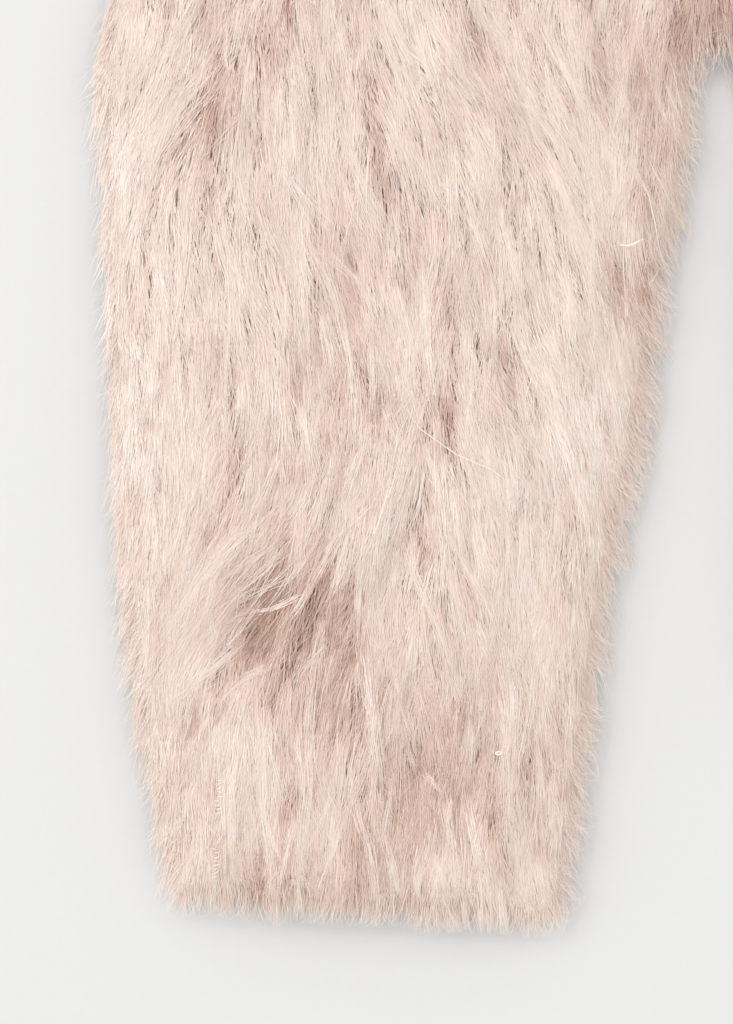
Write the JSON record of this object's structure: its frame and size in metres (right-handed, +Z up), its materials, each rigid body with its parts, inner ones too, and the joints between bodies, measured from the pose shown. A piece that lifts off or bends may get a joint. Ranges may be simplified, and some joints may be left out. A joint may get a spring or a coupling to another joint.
{
  "type": "faux fur sweater",
  "caption": "Oversized long-pile faux fur pullover in pale pink, laid flat with its front up and both long sleeves folded down beside the body.",
  "frame": {"origin": "under the middle of the whole laid garment, on the surface it lies on", "axes": "+X towards the wearer's left across both sleeves, +Y from the hem towards the neck, +Z up out of the surface through the pile"},
  "size_m": [1.2168, 0.738, 0.0396],
  "materials": {
    "front_fur": "long soft pale pink pile",
    "back_fur": "long soft pale pink pile, pressed flat",
    "sleeve_right_fur": "long soft pale pink pile",
    "sleeve_left_fur": "long soft pale pink pile",
    "neckband_fur": "long soft pale pink pile"
  },
  "bodies": {
    "root": {"front": "front_fur", "back": "back_fur", "sleeve_right": "sleeve_right_fur", "sleeve_left": "sleeve_left_fur", "neckband": "neckband_fur"}
  },
  "joints": []
}
